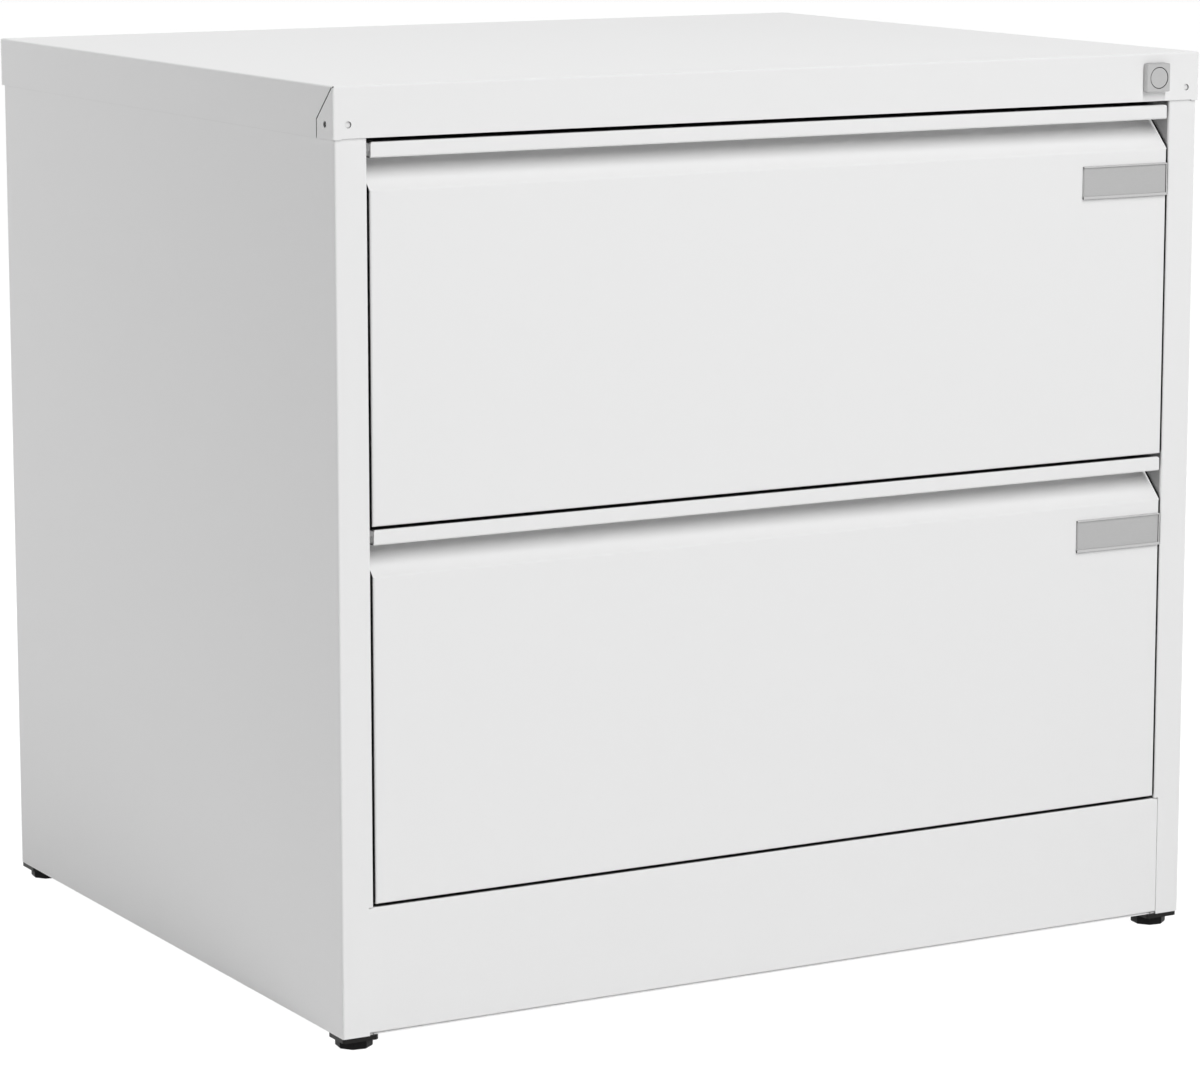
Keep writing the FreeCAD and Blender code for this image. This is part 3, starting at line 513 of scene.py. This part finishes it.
def ballRows(cages, kind):
    # unit ball as rings: (cos(climb) cos(turn), cos(climb) sin(turn), sin(climb)),
    # set down at every place in the rows
    s = ballRow
    low, high = (np.array(corner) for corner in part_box(cages))
    middle = (low + high) / 2
    turn = np.linspace(0, 2 * math.pi, s["stepsAround"], endpoint=False)
    climb = np.linspace(-math.pi / 2, math.pi / 2, s["stepsUp"] + 1)[1:-1, None]
    rings = np.stack([np.cos(climb) * np.cos(turn), np.cos(climb) * np.sin(turn),
                      np.broadcast_to(np.sin(climb), (len(climb), len(turn)))], axis=-1)
    ball = np.concatenate([rings.reshape(-1, 3), [(0, 0, -1), (0, 0, 1)]]) * s["radius"]
    pitch = s["cageLength"] / s["perRow"]
    row = middle[1] + (np.arange(s["perRow"]) - (s["perRow"] - 1) / 2) * pitch
    x, rise = s["cages"][kind]["x"], s["cages"][kind]["rise"]
    side, level = np.meshgrid((-x, x), (middle[2] - rise, middle[2] + rise))
    which, along = np.meshgrid(np.arange(side.size), row)
    which, along = which.ravel(), along.ravel()
    centres = np.stack([side.ravel()[which], along, level.ravel()[which]], axis=-1)
    vertices = (centres[:, None, :] + ball[None, :, :]).reshape(-1, 3)
    sides, fans = closedFaces(len(climb), len(turn))
    starts = (np.arange(len(centres)) * len(ball))[:, None, None]
    return smoothMesh(cages + " balls", vertices, (starts + sides).reshape(-1, 4),
                      (starts + fans).reshape(-1, 3), ballFinish)


for drawer in ("bottom", "top"):
    for kind in ("outer", "inner"):
        runner = drawer + "_runner_" + kind
        balls = bpy.data.objects.new(runner + "_balls", ballRows(runner + "_cages", kind))
        scene.collection.objects.link(balls)
        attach(balls, drawer + "_" + kind + "_cages")
print("bearing balls set in their cages")


studio = {
    "ambient": 0.10,
    "floorHalf": 60.0,            # metres from the middle to each edge
    "floorColour": "#F4F4F4",
    "floorClear": 0.98,
    "floorFilm": "#7F7F7F",
    "lamps": {
        "front": {"place": (0.6, -4.6, 4.6), "aim": (0.0, -0.3, 0.4),
                  "size": (0.5, 5.4), "power": 283},
        "over": {"place": (0.0, 1.2, 4.4), "aim": (0.0, 0.0, 0.7),
                 "size": (2.6, 2.6), "power": 32},
        "side": {"place": (-3.0, 1.9, 1.9), "aim": (-0.38, 0.0, 0.4),
                 "size": (1.6, 1.6), "power": 37},
    },
}


def seenRays(tree):
    # rays that should meet plain white: from the camera, mirrored and through glass
    path = addNode(tree, "ShaderNodeLightPath")
    either = addNode(tree, "ShaderNodeMath", {"operation": "MAXIMUM"},
                     {0: path.outputs["Is Camera Ray"], 1: path.outputs["Is Glossy Ray"]})
    seen = addNode(tree, "ShaderNodeMath", {"operation": "MAXIMUM"},
                   {0: either.outputs["Value"], 1: path.outputs["Is Transmission Ray"]})
    return seen.outputs["Value"]


def buildWorld():
    scene.world = bpy.data.worlds.new("studio")
    scene.world.use_nodes = True
    tree = scene.world.node_tree
    tree.nodes.clear()
    strength = addNode(tree, "ShaderNodeMapRange", {"To Min": studio["ambient"], "To Max": 1.0},
                       {"Value": seenRays(tree)})
    background = addNode(tree, "ShaderNodeBackground", {"Color": (1, 1, 1, 1)},
                         {"Strength": strength.outputs["Result"]})
    addNode(tree, "ShaderNodeOutputWorld", links={"Surface": background.outputs["Background"]})


def buildFloor():
    half = studio["floorHalf"]
    corners = [(-half, -half, 0), (half, -half, 0), (half, half, 0), (-half, half, 0)]
    mesh = bpy.data.meshes.new("floor")
    mesh.from_pydata(corners, [], [(0, 1, 2, 3)])
    material = bpy.data.materials.new("studio floor, matt")
    material.use_nodes = True
    tree = material.node_tree
    tree.nodes.clear()
    matt = addNode(tree, "ShaderNodeBsdfDiffuse", {"Color": hexColour(studio["floorColour"])})
    # seen, it is a clear sheet with a thin matt film over the white world: it takes a faint
    # shadow, and it doesn't hide a foot that is screwed down past it
    clearness = [studio["floorClear"]] * 3 + [1]
    clear = addNode(tree, "ShaderNodeBsdfTransparent", {"Color": clearness})
    film = addNode(tree, "ShaderNodeBsdfDiffuse", {"Color": hexColour(studio["floorFilm"])})
    sheet = addNode(tree, "ShaderNodeAddShader",
                    links={0: clear.outputs["BSDF"], 1: film.outputs["BSDF"]})
    shown = addNode(tree, "ShaderNodeMixShader", links={
        0: seenRays(tree), 1: matt.outputs["BSDF"], 2: sheet.outputs["Shader"]})
    addNode(tree, "ShaderNodeOutputMaterial", links={"Surface": shown.outputs["Shader"]})
    mesh.materials.append(material)
    floor = bpy.data.objects.new("floor", mesh)
    scene.collection.objects.link(floor)


def aimed(place, aim):
    # looks from place to aim: the local -Z axis points along the sight line
    return (Vector(aim) - Vector(place)).to_track_quat("-Z", "Y").to_euler()


def buildLamps():
    for name, s in studio["lamps"].items():
        lamp = bpy.data.lights.new(name, "AREA")
        lamp.shape = "RECTANGLE"
        lamp.size, lamp.size_y = s["size"]
        lamp.energy = s["power"]
        holder = bpy.data.objects.new(name, lamp)
        holder.location = s["place"]
        holder.rotation_euler = aimed(s["place"], s["aim"])
        holder.visible_camera = False
        holder.visible_glossy = False     # else the nickel and the lid would clip to white
        scene.collection.objects.link(holder)


# The photograph's viewpoint and viewing angle. The camera looks down a little and has no
# shift, so the object stays in the frame from every other side too.
photoCamera = {
    "place": (-1.7783, -3.1589, 0.9421),
    "turn": math.radians(29.529),
    "tilt": math.radians(9.928),
    "focalPixels": 4469.5,
    "photoWidth": 1200,
    "sensor": 36.0,
    "farthest": 100,
}


def buildCamera():
    s = photoCamera
    data = bpy.data.cameras.new("photo camera")
    data.sensor_width = s["sensor"]
    data.lens = s["focalPixels"] / s["photoWidth"] * s["sensor"]
    data.clip_end = s["farthest"]
    camera = bpy.data.objects.new("photo camera", data)
    camera.location = s["place"]
    camera.rotation_euler = (math.pi / 2 - s["tilt"], 0, -s["turn"])
    scene.collection.objects.link(camera)
    scene.camera = camera


buildWorld()
buildFloor()
buildLamps()
buildCamera()
scene.view_settings.view_transform = "Standard"
print("studio and camera ready")
